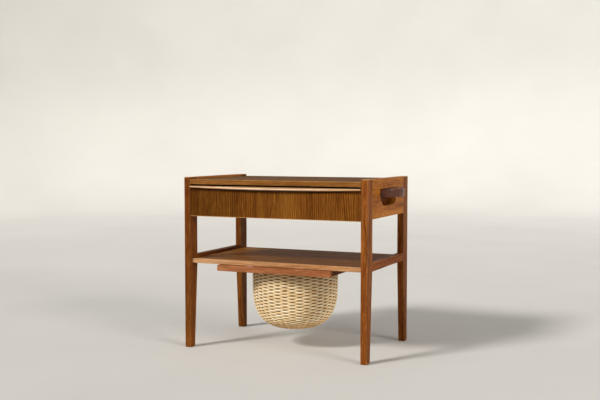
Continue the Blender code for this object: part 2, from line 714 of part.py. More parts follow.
def make_drawer(veneer, solid, birch, drawer):
    front = board("drawer_front", (-DRAWER_FRONT_HALF, DRAWER_FRONT_HALF),
                  (DRAWER_FRONT_FACE, DRAWER_FRONT_REAR),
                  (DRAWER_FRONT_BOTTOM, DRAWER_FRONT_TOP), veneer, drawer)
    groove_z = (DRAWER_BOTTOM_UNDER - TOUCH, DRAWER_BOTTOM_UPPER + TOUCH)
    groove_half = DRAWER_SIDE_INSIDE + DRAWER_BOTTOM_GROOVE + TOUCH
    side_middle = DRAWER_SIDE_OUTSIDE - DRAWER_SIDE_THICKNESS / 2

    for side_name, side in SIDES.items():
        shape = prism(drawer_side_outline(), DRAWER_SIDE_THICKNESS)
        panel = add_piece(f"drawer_side_{side_name}", shape, solid, drawer, (side * side_middle, 0, 0))
        groove_x = mirrored((DRAWER_SIDE_INSIDE - CUT_SPARE, groove_half), side)
        cut_box(panel, f"cut_side_groove_{side_name}", groove_x,
                (DRAWER_FRONT_FACE, DRAWER_SIDE_END + CUT_SPARE), groove_z)
        socket_width = DRAWER_SIDE_THICKNESS + CUT_SPARE
        socket_middle = side * (DRAWER_SIDE_INSIDE - TOUCH + socket_width / 2)
        for number, height in enumerate(dovetail_heights(), start=1):
            outline = list(dovetail_outline(height, TOUCH))
            mouth = DRAWER_FRONT_REAR + DOVETAIL_MOUTH_SPARE
            outline[0] = (mouth, outline[0][1])
            outline[3] = (mouth, outline[3][1])
            cut(front, f"cut_socket_{side_name}_{number}", prism(outline, socket_width),
                (socket_middle, 0, 0))

    front_groove_y = (DRAWER_FRONT_REAR - DRAWER_BOTTOM_GROOVE - TOUCH, DRAWER_FRONT_REAR + CUT_SPARE)
    cut_box(front, "cut_front_groove", (-groove_half, groove_half), front_groove_y, groove_z)

    board("drawer_back", (-DRAWER_INNER_HALF, DRAWER_INNER_HALF), (DRAWER_BACK_FRONT, DRAWER_BACK_REAR),
          (DRAWER_BOTTOM_UPPER + TOUCH, DRAWER_SIDE_TOP - DRAWER_BACK_BELOW_SIDE), birch, drawer)
    bottom_half = DRAWER_SIDE_INSIDE + DRAWER_BOTTOM_GROOVE
    board("drawer_bottom", (-bottom_half, bottom_half),
          (DRAWER_FRONT_REAR - DRAWER_BOTTOM_GROOVE, DRAWER_BACK_REAR),
          (DRAWER_BOTTOM_UNDER, DRAWER_BOTTOM_UPPER), birch, drawer, 0)

    inner_x = (-DRAWER_INNER_HALF, DRAWER_INNER_HALF)
    ledge_z = (LEDGE_UNDER, LEDGE_UPPER)
    board("tray_ledge_front", inner_x, (DRAWER_INNER_FRONT, DRAWER_INNER_FRONT + LEDGE_SIZE),
          ledge_z, birch, drawer)
    board("tray_ledge_rear", inner_x, (DRAWER_INNER_REAR - LEDGE_SIZE, DRAWER_INNER_REAR),
          ledge_z, birch, drawer)
    third = DRAWER_INNER_HALF / 3
    for side_name, side in SIDES.items():
        x = (side * third - DIVIDER_THICKNESS / 2, side * third + DIVIDER_THICKNESS / 2)
        board(f"drawer_divider_{side_name}", x, (DRAWER_INNER_FRONT, DRAWER_INNER_REAR),
              (DRAWER_BOTTOM_UPPER + TOUCH, LEDGE_UNDER - TOUCH), birch, drawer)
    make_drawer_lip(solid, drawer)


def lip_section(depth, height):
    """Section in Y and Z from the top rear corner: quarter-round front, small round at its foot."""
    nose = depth * LIP_NOSE_SHARE
    upright = height - LIP_FOOT_ROUND
    points = [(0.0, 0.0)]
    for step in range(LIP_NOSE_STEPS + 1):
        angle = math.pi / 2 * (1 - step / LIP_NOSE_STEPS)
        points.append((nose - depth - nose * math.cos(angle), upright * (math.sin(angle) - 1)))
    for step in range(1, LIP_FOOT_STEPS + 1):
        angle = math.pi / 2 * step / LIP_FOOT_STEPS
        points.append((LIP_FOOT_ROUND * (1 - math.cos(angle)) - depth,
                       -upright - LIP_FOOT_ROUND * math.sin(angle)))
    points.append((0.0, -height))
    return points


def make_drawer_lip(finish, drawer):
    """Full-width pull: straight top, bowed front, lower edge arched towards both ends."""
    shape = bmesh.new()
    length = 2 * DRAWER_FRONT_HALF
    sections = []
    for station in range(LIP_STATIONS + 1):
        along = station / LIP_STATIONS
        bow = math.sin(math.pi * along)
        depth = LIP_END_STAND_OUT + (LIP_STAND_OUT - LIP_END_STAND_OUT) * bow
        height = LIP_END_HEIGHT + (LIP_HEIGHT - LIP_END_HEIGHT) * bow
        x = (along - 0.5) * length
        sections.append([shape.verts.new((x, y, z)) for y, z in lip_section(depth, height)])
    count = len(sections[0])
    for before, after in zip(sections, sections[1:]):
        for step in range(count):
            following = (step + 1) % count
            shape.faces.new((before[step], before[following], after[following], after[step]))
    shape.faces.new(sections[0])
    shape.faces.new(reversed(sections[-1]))
    place = (0, DRAWER_FRONT_FACE - TOUCH, DRAWER_FRONT_TOP)
    lip = add_piece("drawer_lip", shape, finish, drawer, place)
    shade_round(lip, LIP_SMOOTH_ANGLE)


# ---------------------------------------------------------------- thread tray
def make_thread_tray(birch, tray):
    x = (TRAY_LEFT, TRAY_RIGHT)
    y = (TRAY_FRONT, TRAY_REAR)
    wall_z = (TRAY_FLOOR + TOUCH, TRAY_TOP)
    board("tray_bottom", x, y, (TRAY_UNDER, TRAY_FLOOR), birch, tray, 0)
    board("tray_wall_front", x, (TRAY_FRONT, TRAY_FRONT + TRAY_BOARD), wall_z, birch, tray)
    board("tray_wall_rear", x, (TRAY_REAR - TRAY_BOARD, TRAY_REAR), wall_z, birch, tray)
    inner_y = (TRAY_FRONT + TRAY_BOARD + TOUCH, TRAY_REAR - TRAY_BOARD - TOUCH)
    middle_y = (inner_y[0] + inner_y[1]) / 2
    ends = {"left": (TRAY_LEFT, TRAY_LEFT + TRAY_BOARD), "right": (TRAY_RIGHT - TRAY_BOARD, TRAY_RIGHT)}
    for name, limits in ends.items():
        end = board(f"tray_end_{name}", limits, inner_y, wall_z, birch, tray)
        profile = ((0, -TRAY_BOARD), (TRAY_NOTCH_RADIUS, -TRAY_BOARD),
                   (TRAY_NOTCH_RADIUS, TRAY_BOARD), (0, TRAY_BOARD))
        notch = turned(profile, TRAY_NOTCH_SIDES)
        bmesh.ops.rotate(notch, matrix=Matrix.Rotation(math.pi / 2, 3, "Y"), verts=notch.verts)
        cut(end, f"cut_tray_notch_{name}", notch, ((limits[0] + limits[1]) / 2, middle_y, TRAY_TOP))
    divider_x = (TRAY_LEFT + TRAY_BOARD + TOUCH, TRAY_RIGHT - TRAY_BOARD - TOUCH)
    board("tray_divider", divider_x, (middle_y - TRAY_BOARD / 2, middle_y + TRAY_BOARD / 2),
          (wall_z[0], TRAY_TOP - TRAY_DIVIDER_BELOW_WALL), birch, tray)


# ---------------------------------------------------------------- basket slide
def slide_screw_places(side):
    middle = side * (SLIDE_HALF - (SLIDE_RUNNER_WIDTH - SLIDE_GROOVE_DEPTH) / 2)
    return [(middle, end * SLIDE_SCREW_SPACING / 2, SLIDE_RUNNER_BOTTOM) for end in ENDS.values()]


def slide_screw(growth=0.0):
    play = DOWEL_HOLE_END_PLAY if growth else 0.0
    length = SHELF_UPPER - SLIDE_SCREW_BELOW_SHELF_TOP - SLIDE_RUNNER_BOTTOM
    return screw_shape(length, growth, play, CUT_SPARE if growth else 0.0)


def make_slide_runners(wood, steel, table):
    for side_name, side in SIDES.items():
        x = mirrored((SLIDE_RUNNER_INSIDE, SLIDE_HALF), side)
        runner = board(f"slide_runner_{side_name}", x, (SLIDE_RUNNER_FRONT, SLIDE_RUNNER_REAR),
                       (SLIDE_RUNNER_BOTTOM, SLIDE_RUNNER_TOP), wood, table)
        groove_x = mirrored((SLIDE_RUNNER_INSIDE - CUT_SPARE, SLIDE_RUNNER_INSIDE + SLIDE_GROOVE_DEPTH), side)
        cut_box(runner, f"cut_slide_groove_{side_name}", groove_x,
                (SLIDE_RUNNER_FRONT - CUT_SPARE, SLIDE_RUNNER_REAR + CUT_SPARE),
                (SLIDE_GROOVE_BOTTOM, SLIDE_GROOVE_TOP))
        for number, place in enumerate(slide_screw_places(side), start=1):
            cut(runner, f"cut_slide_screw_{side_name}_{number}", slide_screw(TOUCH), place)
            screw = add_piece(f"slide_screw_{side_name}_{number}", slide_screw(), steel, table, place)
            shade_round(screw)


def basket_radius_at(height):
    """Outside radius: upright above the shoulder, a rounded bowl below it."""
    if height >= BASKET_SHOULDER:
        return BASKET_RADIUS
    drop = (BASKET_SHOULDER - height) / (BASKET_SHOULDER - BASKET_BOTTOM)
    return BASKET_RADIUS * max(0.0, 1 - drop ** BASKET_ROUNDNESS) ** (1 / BASKET_ROUNDNESS)


def bowl_points(inset):
    """Half profile of the bowl from its centre up to its shoulder, set in by a wall."""
    points = []
    for ring in range(BASKET_RINGS + 1):
        angle = math.pi / 2 * ring / BASKET_RINGS
        share = math.cos(angle) ** (2 / BASKET_ROUNDNESS) if ring < BASKET_RINGS else 0.0
        height = BASKET_SHOULDER - (BASKET_SHOULDER - BASKET_BOTTOM - inset) * share
        outside = BASKET_BOTTOM + (height - BASKET_BOTTOM - inset) * (
            (BASKET_SHOULDER - BASKET_BOTTOM) / (BASKET_SHOULDER - BASKET_BOTTOM - inset))
        radius = basket_radius_at(outside) * (BASKET_RADIUS - inset) / BASKET_RADIUS
        points.append((radius if ring else 0.0, height))
    return points


def make_basket(cane, slide):
    outside = bowl_points(0.0)
    inside = bowl_points(BASKET_WALL)
    rim_outside = BASKET_RADIUS + BASKET_BORDER_WIDTH
    rim_inside = BASKET_RADIUS - BASKET_WALL
    ease = BASKET_BORDER_HEIGHT / 4
    profile = outside + [
        (BASKET_RADIUS, BORDER_BOTTOM),
        (rim_outside - ease, BORDER_BOTTOM),
        (rim_outside, BORDER_BOTTOM + ease),
        (rim_outside, BORDER_TOP - ease),
        (rim_outside - ease, BORDER_TOP),
        (rim_inside, BORDER_TOP),
    ] + list(reversed(inside))
    basket = add_piece("basket", turned(profile, BASKET_SIDES), cane, slide, (0, BASKET_Y, 0))
    shade_round(basket)


def make_basket_slide(solid, cane, slide):
    board("slide_front_bar", (-SLIDE_HALF, SLIDE_HALF), (-HALF_DEPTH, SLIDE_BAR_REAR),
          (SLIDE_BAR_BOTTOM, SLIDE_BAR_TOP), solid, slide, WORN, WORN_STEPS)
    z = (SLAT_BOTTOM, SLAT_TOP)
    for side_name, side in SIDES.items():
        x = mirrored((BASKET_OPENING, ARM_OUTSIDE), side)
        board(f"slide_arm_{side_name}", x, (SLAT_FRONT, SLAT_REAR), z, solid, slide)
    cross_x = (-BASKET_OPENING + TOUCH, BASKET_OPENING - TOUCH)
    board("slide_cross_front", cross_x, (SLAT_FRONT, BASKET_Y - BASKET_OPENING), z, solid, slide)
    board("slide_cross_rear", cross_x, (BASKET_Y + BASKET_OPENING, SLAT_REAR), z, solid, slide)
    make_basket(cane, slide)


# ---------------------------------------------------------------- the whole table
def build():
    clear_scene()
    teak = make_finish("oiled_teak", (0.30, 0.13, 0.055), 0.42)
    teak_veneer = make_finish("teak_veneer", (0.24, 0.10, 0.035), 0.45)
    dark_teak = make_finish("dark_teak_grip", (0.10, 0.038, 0.024), 0.36)
    birch = make_finish("birch_drawer_wood", (0.55, 0.36, 0.19), 0.55)
    cane = make_finish("peeled_cane", (0.76, 0.57, 0.30), 0.62)
    steel = make_finish("screw_steel", (0.45, 0.43, 0.40), 0.35, 1.0)

    whole = make_empty("table_origin", (0, 0, 0))
    whole.location = (0, CENTRE_SHIFT, 0)
    table = make_empty("table", (0, 0, 0), whole)
    for side_name in SIDES:
        for end_name in ENDS:
            make_leg(side_name, end_name, teak, table)
        make_side_panel(side_name, teak, table)
        make_side_rail(side_name, teak, table)
        make_side_grip(side_name, dark_teak, table)
    make_dowels(birch, table)
    make_top(teak_veneer, teak, table)
    make_back(teak_veneer, table)
    make_shelf(teak_veneer, teak, table)
    make_drawer_runners(birch, steel, table)
    make_slide_runners(teak, steel, table)

    drawer = make_empty("drawer_axis", (0, DRAWER_FRONT_FACE, DRAWER_SIDE_BOTTOM), table)
    make_drawer(teak_veneer, teak, birch, drawer)
    tray = make_empty("thread_tray_axis", (TRAY_LEFT, 0, TRAY_UNDER), drawer)
    make_thread_tray(birch, tray)
    slide = make_empty("basket_slide_axis", (0, -HALF_DEPTH, SLAT_BOTTOM), table)
    make_basket_slide(teak, cane, slide)


build()
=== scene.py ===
import math
import random

import bmesh
import bpy
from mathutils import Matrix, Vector


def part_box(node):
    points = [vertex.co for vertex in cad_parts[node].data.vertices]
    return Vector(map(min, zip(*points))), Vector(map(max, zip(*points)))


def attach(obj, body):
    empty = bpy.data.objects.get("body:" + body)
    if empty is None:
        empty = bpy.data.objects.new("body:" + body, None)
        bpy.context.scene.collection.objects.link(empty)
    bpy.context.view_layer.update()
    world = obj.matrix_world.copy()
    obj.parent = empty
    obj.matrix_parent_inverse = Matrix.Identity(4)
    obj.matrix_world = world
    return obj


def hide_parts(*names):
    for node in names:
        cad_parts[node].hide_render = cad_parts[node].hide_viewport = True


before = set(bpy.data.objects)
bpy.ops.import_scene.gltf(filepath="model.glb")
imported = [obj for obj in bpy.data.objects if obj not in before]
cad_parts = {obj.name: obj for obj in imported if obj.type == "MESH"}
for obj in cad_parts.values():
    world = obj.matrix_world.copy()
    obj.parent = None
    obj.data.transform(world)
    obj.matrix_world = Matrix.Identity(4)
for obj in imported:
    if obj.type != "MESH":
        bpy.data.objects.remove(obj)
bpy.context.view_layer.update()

MM = 0.001
FULL_TURN = 2 * math.pi


# ---------------------------------------------------------------- places read from the frame
def middle(node):
    """The middle of a node's box."""
    low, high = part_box(node)
    return Vector([(a + b) / 2 for a, b in zip(low, high)])


def ends(node):
    """Where a board begins and ends from left to right."""
    low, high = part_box(node)
    return low[0], high[0]


BASKET_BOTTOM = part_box("basket")[0][2]
BASKET_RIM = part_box("basket")[1][2]
BASKET_MIDDLE = middle("basket")
BASKET_RADIUS = (ends("basket")[1] - ends("basket")[0]) / 2     # over its border


# ---------------------------------------------------------------- material helpers
def tone(code):
    """An sRGB hex colour as linear RGBA."""
    channels = [int(code[place:place + 2], 16) / 255 for place in (0, 2, 4)]
    linear = [c / 12.92 if c <= 0.04045 else ((c + 0.055) / 1.055) ** 2.4 for c in channels]
    return (*linear, 1.0)


def add_node(tree, kind, settings=None, **links):
    """Adds a node with its settings and links.

    A setting is a property or an input of the node, by name or number, and a hex colour becomes
    linear; "stops" are a colour ramp's (position, hex colour). A link's _ stands for a space in the
    input's name, and _2 is the input with number 2.
    """
    node = tree.nodes.new("ShaderNode" + kind)
    for name, value in (settings or {}).items():
        if name == "stops":
            colours = node.color_ramp.elements
            colours.remove(colours[-1])
            colours[0].position, colours[0].color = value[0][0], tone(value[0][1])
            for position, code in value[1:]:
                colours.new(position).color = tone(code)
        elif isinstance(name, str) and hasattr(node, name):
            setattr(node, name, value)
        else:
            node.inputs[name].default_value = tone(value) if isinstance(value, str) else value
    for name, source in links.items():
        socket = int(name[1:]) if name.startswith("_") else name.replace("_", " ")
        tree.links.new(source, node.inputs[socket])
    return node


def new_finish(name):
    """A new material with its node tree and its shader."""
    finish = bpy.data.materials.new(name)
    finish.use_nodes = True
    tree = finish.node_tree
    return finish, tree, tree.nodes["Principled BSDF"]


def lay_tones(tree, colour, layers, blend="MIX"):
    """Lays tones over a colour in turn, and gives the new colour and how much of each tone shows.

    A layer is (pattern, low, high, share, hex colour): none of it shows where its pattern is at low,
    and share of it where the pattern is at high.
    """
    shown = []
    for pattern, low, high, share, code in layers:
        amount = add_node(tree, "MapRange", {"From Min": low, "From Max": high, "To Max": share},
                          Value=pattern).outputs["Result"]
        shown.append(amount)
        colour = add_node(tree, "Mix", {"data_type": "RGBA", "blend_type": blend, 7: code},
                          _0=amount, _6=colour).outputs[2]
    return colour, shown


def set_roughness(tree, shader, smoothest, roughest, pattern, low=0.0, high=1.0):
    """Lets the roughness follow a pattern, smoothest where it is at low and roughest at high."""
    rough = add_node(tree, "MapRange", {"From Min": low, "From Max": high, "To Min": smoothest,
                                        "To Max": roughest}, Value=pattern).outputs["Result"]
    tree.links.new(rough, shader.inputs["Roughness"])


# ---------------------------------------------------------------- wood
# Grain patterns: the length and width of one cell in mm, then the noise's detail and roughness.
SLOW_TONE = (700, 70, 3.0, 0.5)
WOBBLE = (420, 120, 2.0, 0.45)
FLECKS = (34, 3.2, 4.0, 0.7)
FIBRES = (60, 1.3, 4.0, 0.65)      # a real fibre is finer than the render shows, so these are coarser
PORES = (14, 0.75, 2.0, 0.5)       # teak's pores are about 0.3 mm wide, drawn wide enough to show
GROWTH_LENGTH_MM = 900
GROWTH_NOISE = (4.0, 0.62)         # detail and roughness
STREAK_LENGTH_MM = 420
STREAK_WIDTH = 0.3                 # a streak's width as a share of the figure's
STREAK_NOISE = (5.0, 0.62)
GRAIN_WANDER = 55 * MM             # how far growth figure and streaks wander off a straight line
WAVE_PITCH = math.pi / 10          # the pitch of a wave texture at scale 1, in metres
# Pale bare wood, used on arrises and ends as wear and as painted highlight.
BARE_WOOD_AND_HIGHLIGHT = "dca868"
# Painted shade under the drawer's lip and on the lip's lower part.
PAINTED_LIP_SHADOW = "2c1006"
LIP_SHADOW_SHARE = 0.85
BARE_END_AND_HIGHLIGHT_SHARE = 0.7


def grain_noise(tree, place, axis, length_mm, width_mm, detail, roughness):
    """Noise drawn out along the grain, one cell of it length_mm long and width_mm wide."""
    scale = [1000 / width_mm] * 3
    scale["xyz".index(axis)] = 1000 / length_mm
    stretched = add_node(tree, "Mapping", {"Scale": scale}, Vector=place).outputs["Vector"]
    return add_node(tree, "TexNoise", {"Scale": 1.0, "Detail": detail, "Roughness": roughness},
                    Vector=stretched)


def arris_wear_and_highlight(tree, reach_mm, noise, share):
    """How pale the arrises turn, partly as wear and partly as painted highlight: nothing on a board's
    faces and up to share on its arrises.

    An arris is where a rounded normal turns away from the flat one, and the noise breaks the paleness
    up, so that it comes and goes along the arris.
    """
    rounded = add_node(tree, "Bevel", {"samples": 4, "Radius": reach_mm * MM}).outputs["Normal"]
    flat = add_node(tree, "NewGeometry").outputs["True Normal"]
    alike = add_node(tree, "VectorMath", {"operation": "DOT_PRODUCT"},
                     _0=rounded, _1=flat).outputs["Value"]
    arris = add_node(tree, "MapRange", {"From Min": 0.995, "From Max": 0.90},
                     Value=alike).outputs["Result"]
    patchy = add_node(tree, "MapRange", {"From Min": 0.35, "From Max": 0.65, "To Min": 0.35 * share,
                                         "To Max": share}, Value=noise).outputs["Result"]
    return add_node(tree, "Math", {"operation": "MULTIPLY"}, _0=arris, _1=patchy).outputs["Value"]


def painted_lip_shadow(tree, place, heights, back):
    """How much painted shade there is under and on the drawer's lip, in a band of heights: where it
    begins, is full, fades and ends.

    Where back is given, there is none further back than that.
    """
    begins, full, fades, gone = heights
    limits = [("Z", begins, full, LIP_SHADOW_SHARE), ("Z", gone, fades, 1.0)]
    if back is not None:
        limits.append(("Y", back, back - 1 * MM, 1.0))
    shadow_amount = None
    for direction, low, high, share in limits:
        limit = add_node(tree, "MapRange", {"From Min": low, "From Max": high, "To Max": share},
                         Value=place.outputs[direction]).outputs["Result"]
        if shadow_amount is None:
            shadow_amount = limit
        else:
            shadow_amount = add_node(tree, "Math", {"operation": "MULTIPLY"},
                              _0=shadow_amount, _1=limit).outputs["Value"]
    return shadow_amount


def wood(name, axis, palette, figure_mm, roughness, streaks=0.75, pores=0.5, figure=0.5, flecks=0.5,
         bump=0.25, gloss=0.03, wear_and_highlight=0.5, pale_arris_mm=1.6, pale_ends=None, shadow_heights=None, shadow_back=None,
         tone_across=None, lines_mm=None):
    """Straight-grained wood: slow tone, growth figure, dark streaks, flecks, fibres and short pores.

    axis is the direction of the grain, and palette runs from the darkest streak to the palest wood.
    figure_mm is the width of the growth figure. streaks, pores, figure and flecks say how strongly
    each shows, wear_and_highlight how pale the arrises are, partly wear and partly painted
    highlight, and pale_arris_mm how wide the pale reaches. pale_ends is a pair of heights between
    which the wood turns pale, as bare wood and as painted highlight. shadow_heights gives the
    heights where painted shade under the drawer's lip begins, is full, fades and ends, and
    shadow_back how far back it goes. tone_across is (left end, right end, stops), a tone laid over
    the wood from its left end to its right end, and lines_mm is the pitch of a veneer's growth lines.
    """
    finish, tree, shader = new_finish(name)
    dark, mid, light, pale = palette
    place = add_node(tree, "TexCoord").outputs["Object"]
    wobble = grain_noise(tree, place, axis, *WOBBLE).outputs["Color"]
    bent = add_node(tree, "VectorMath", {"operation": "MULTIPLY_ADD", 1: (GRAIN_WANDER,) * 3},
                    _0=wobble, _2=place).outputs["Vector"]
    slow = grain_noise(tree, place, axis, *SLOW_TONE).outputs["Fac"]
    growth = grain_noise(tree, bent, axis, GROWTH_LENGTH_MM, figure_mm, *GROWTH_NOISE).outputs["Fac"]
    streak = grain_noise(tree, bent, axis, STREAK_LENGTH_MM, figure_mm * STREAK_WIDTH,
                         *STREAK_NOISE).outputs["Fac"]
    fleck = grain_noise(tree, place, axis, *FLECKS).outputs["Fac"]
    fibre = grain_noise(tree, place, axis, *FIBRES).outputs["Fac"]
    pore = grain_noise(tree, place, axis, *PORES).outputs["Fac"]

    ground = add_node(tree, "ValToRGB", {"stops": ((0.30, mid), (0.52, light), (0.72, pale))},
                      Fac=slow).outputs["Color"]
    figured = add_node(tree, "ValToRGB", {"stops": ((0.34, dark), (0.45, mid), (0.56, light),
                                                    (0.68, pale))}, Fac=growth).outputs["Color"]
    colour = add_node(tree, "Mix", {"data_type": "RGBA", 0: figure}, _6=ground, _7=figured).outputs[2]
    layers = [(fleck, 0.50, 0.66, flecks, pale),
              (fleck, 0.48, 0.32, flecks, mid),
              (streak, 0.53, 0.68, streaks, dark)]
    if lines_mm:
        lines = add_node(tree, "TexWave", {"Scale": WAVE_PITCH / (lines_mm * MM), "Distortion": 2.5,
                                           "Detail": 3.0, "Detail Scale": 0.6}, Vector=bent)
        layers.append((lines.outputs["Fac"], 0.35, 0.9, 0.62, dark))
    layers += [(fibre, 0.42, 0.75, 0.42, dark),
               (pore, 0.60, 0.72, pores, dark)]
    colour, shown = lay_tones(tree, colour, layers)
    # Pale arrises: partly wear, partly painted highlight.
    colour = add_node(tree, "Mix", {"data_type": "RGBA", 7: BARE_WOOD_AND_HIGHLIGHT},
                      _0=arris_wear_and_highlight(tree, pale_arris_mm, fleck, wear_and_highlight), _6=colour).outputs[2]

    spread = add_node(tree, "SeparateXYZ", Vector=place)
    # A tone laid across the wood from left to right; on the shelf it is painted shade.
    if tone_across:
        left, right, stops = tone_across
        across = add_node(tree, "MapRange", {"From Min": left, "From Max": right},
                          Value=spread.outputs["X"]).outputs["Result"]
        across_tone = add_node(tree, "ValToRGB", {"stops": stops}, Fac=across).outputs["Color"]
        colour = add_node(tree, "Mix", {"data_type": "RGBA", "blend_type": "MULTIPLY", 0: 1.0},
                          _6=colour, _7=across_tone).outputs[2]
    # A pale band between two heights: bare wood, and a painted highlight along the edge.
    if pale_ends:
        pale_end_band = [(spread.outputs["Z"], *pale_ends, BARE_END_AND_HIGHLIGHT_SHARE, BARE_WOOD_AND_HIGHLIGHT)]
        colour, _ = lay_tones(tree, colour, pale_end_band)
    # Painted shade under the drawer's lip and on the lip's lower part.
    if shadow_heights:
        colour = add_node(tree, "Mix", {"data_type": "RGBA", 7: PAINTED_LIP_SHADOW},
                          _0=painted_lip_shadow(tree, spread, shadow_heights, shadow_back), _6=colour).outputs[2]
    tree.links.new(colour, shader.inputs["Base Color"])

    set_roughness(tree, shader, roughness - 0.05, roughness + 0.12, fibre, 0.3, 0.8)
    fibres_shown, pores_shown = shown[-2:]
    hollows = add_node(tree, "Math", {"operation": "ADD"}, _0=pores_shown, _1=fibres_shown)
    relief = add_node(tree, "Bump", {"Strength": bump, "Distance": 0.4 * MM, "invert": True},
                      Height=hollows.outputs["Value"]).outputs["Normal"]
    tree.links.new(relief, shader.inputs["Normal"])
    shader.inputs["Specular IOR Level"].default_value = gloss
    return finish


# Palettes, from the darkest streak to the palest wood.
TEAK_LEG_DARK = ("2b1104", "61300f", "7e4419", "976228")
TEAK_LEG = ("331505", "713b14", "945221", "b17636")
TEAK_BOARD = ("4a2308", "8c4b14", "ac6722", "ca8838")
TEAK_BAR = ("4c2212", "84482a", "a26441", "be865c")
TEAK_TOP_LIPPING = ("40200a", "734218", "8e5c2a", "ab7840")
# Darker, redder teak: the rails' own tone, and painted shade on the slide and the drawer sides.
TEAK_RAIL_AND_SHADE = ("321304", "662f0e", "854518", "a06228")
TEAK_LIPPING = ("5a3014", "a06838", "c48f60", "e0b58a")
# A pale cream palette for the lip: a painted highlight.
TEAK_LIP_HIGHLIGHT = ("734426", "a47046", "c09668", "d0b082")
TEAK_VENEER = ("341804", "6e3d10", "90581e", "ae752d")
TEAK_SHELF = ("402209", "764717", "945e22", "ae7833")
TEAK_TOP = ("351d0c", "5f3b1b", "775028", "8e6839")
DARK_GRIP = ("200d07", "462216", "623422", "7a4732")
BIRCH = ("b08a58", "d0ad78", "dcbf8c", "e8d0a4")
# Tones laid over a veneer, by place from the left end (0) to the right end (1).
FRONT_TONES = ((0.0, "d4d8d0"), (0.27, "e0e2da"), (0.31, "f2f0ea"), (0.56, "f4f2ec"),
                (0.575, "ffffff"), (0.625, "ffffff"), (0.64, "f6f2ee"), (1.0, "faf6f0"))
# The shelf darker towards its right end: painted shade.
SHELF_PAINTED_SHADE = ((0.0, "ffffff"), (0.3, "f8f4f0"), (0.55, "dcd6d0"), (1.0, "d2cac4"))


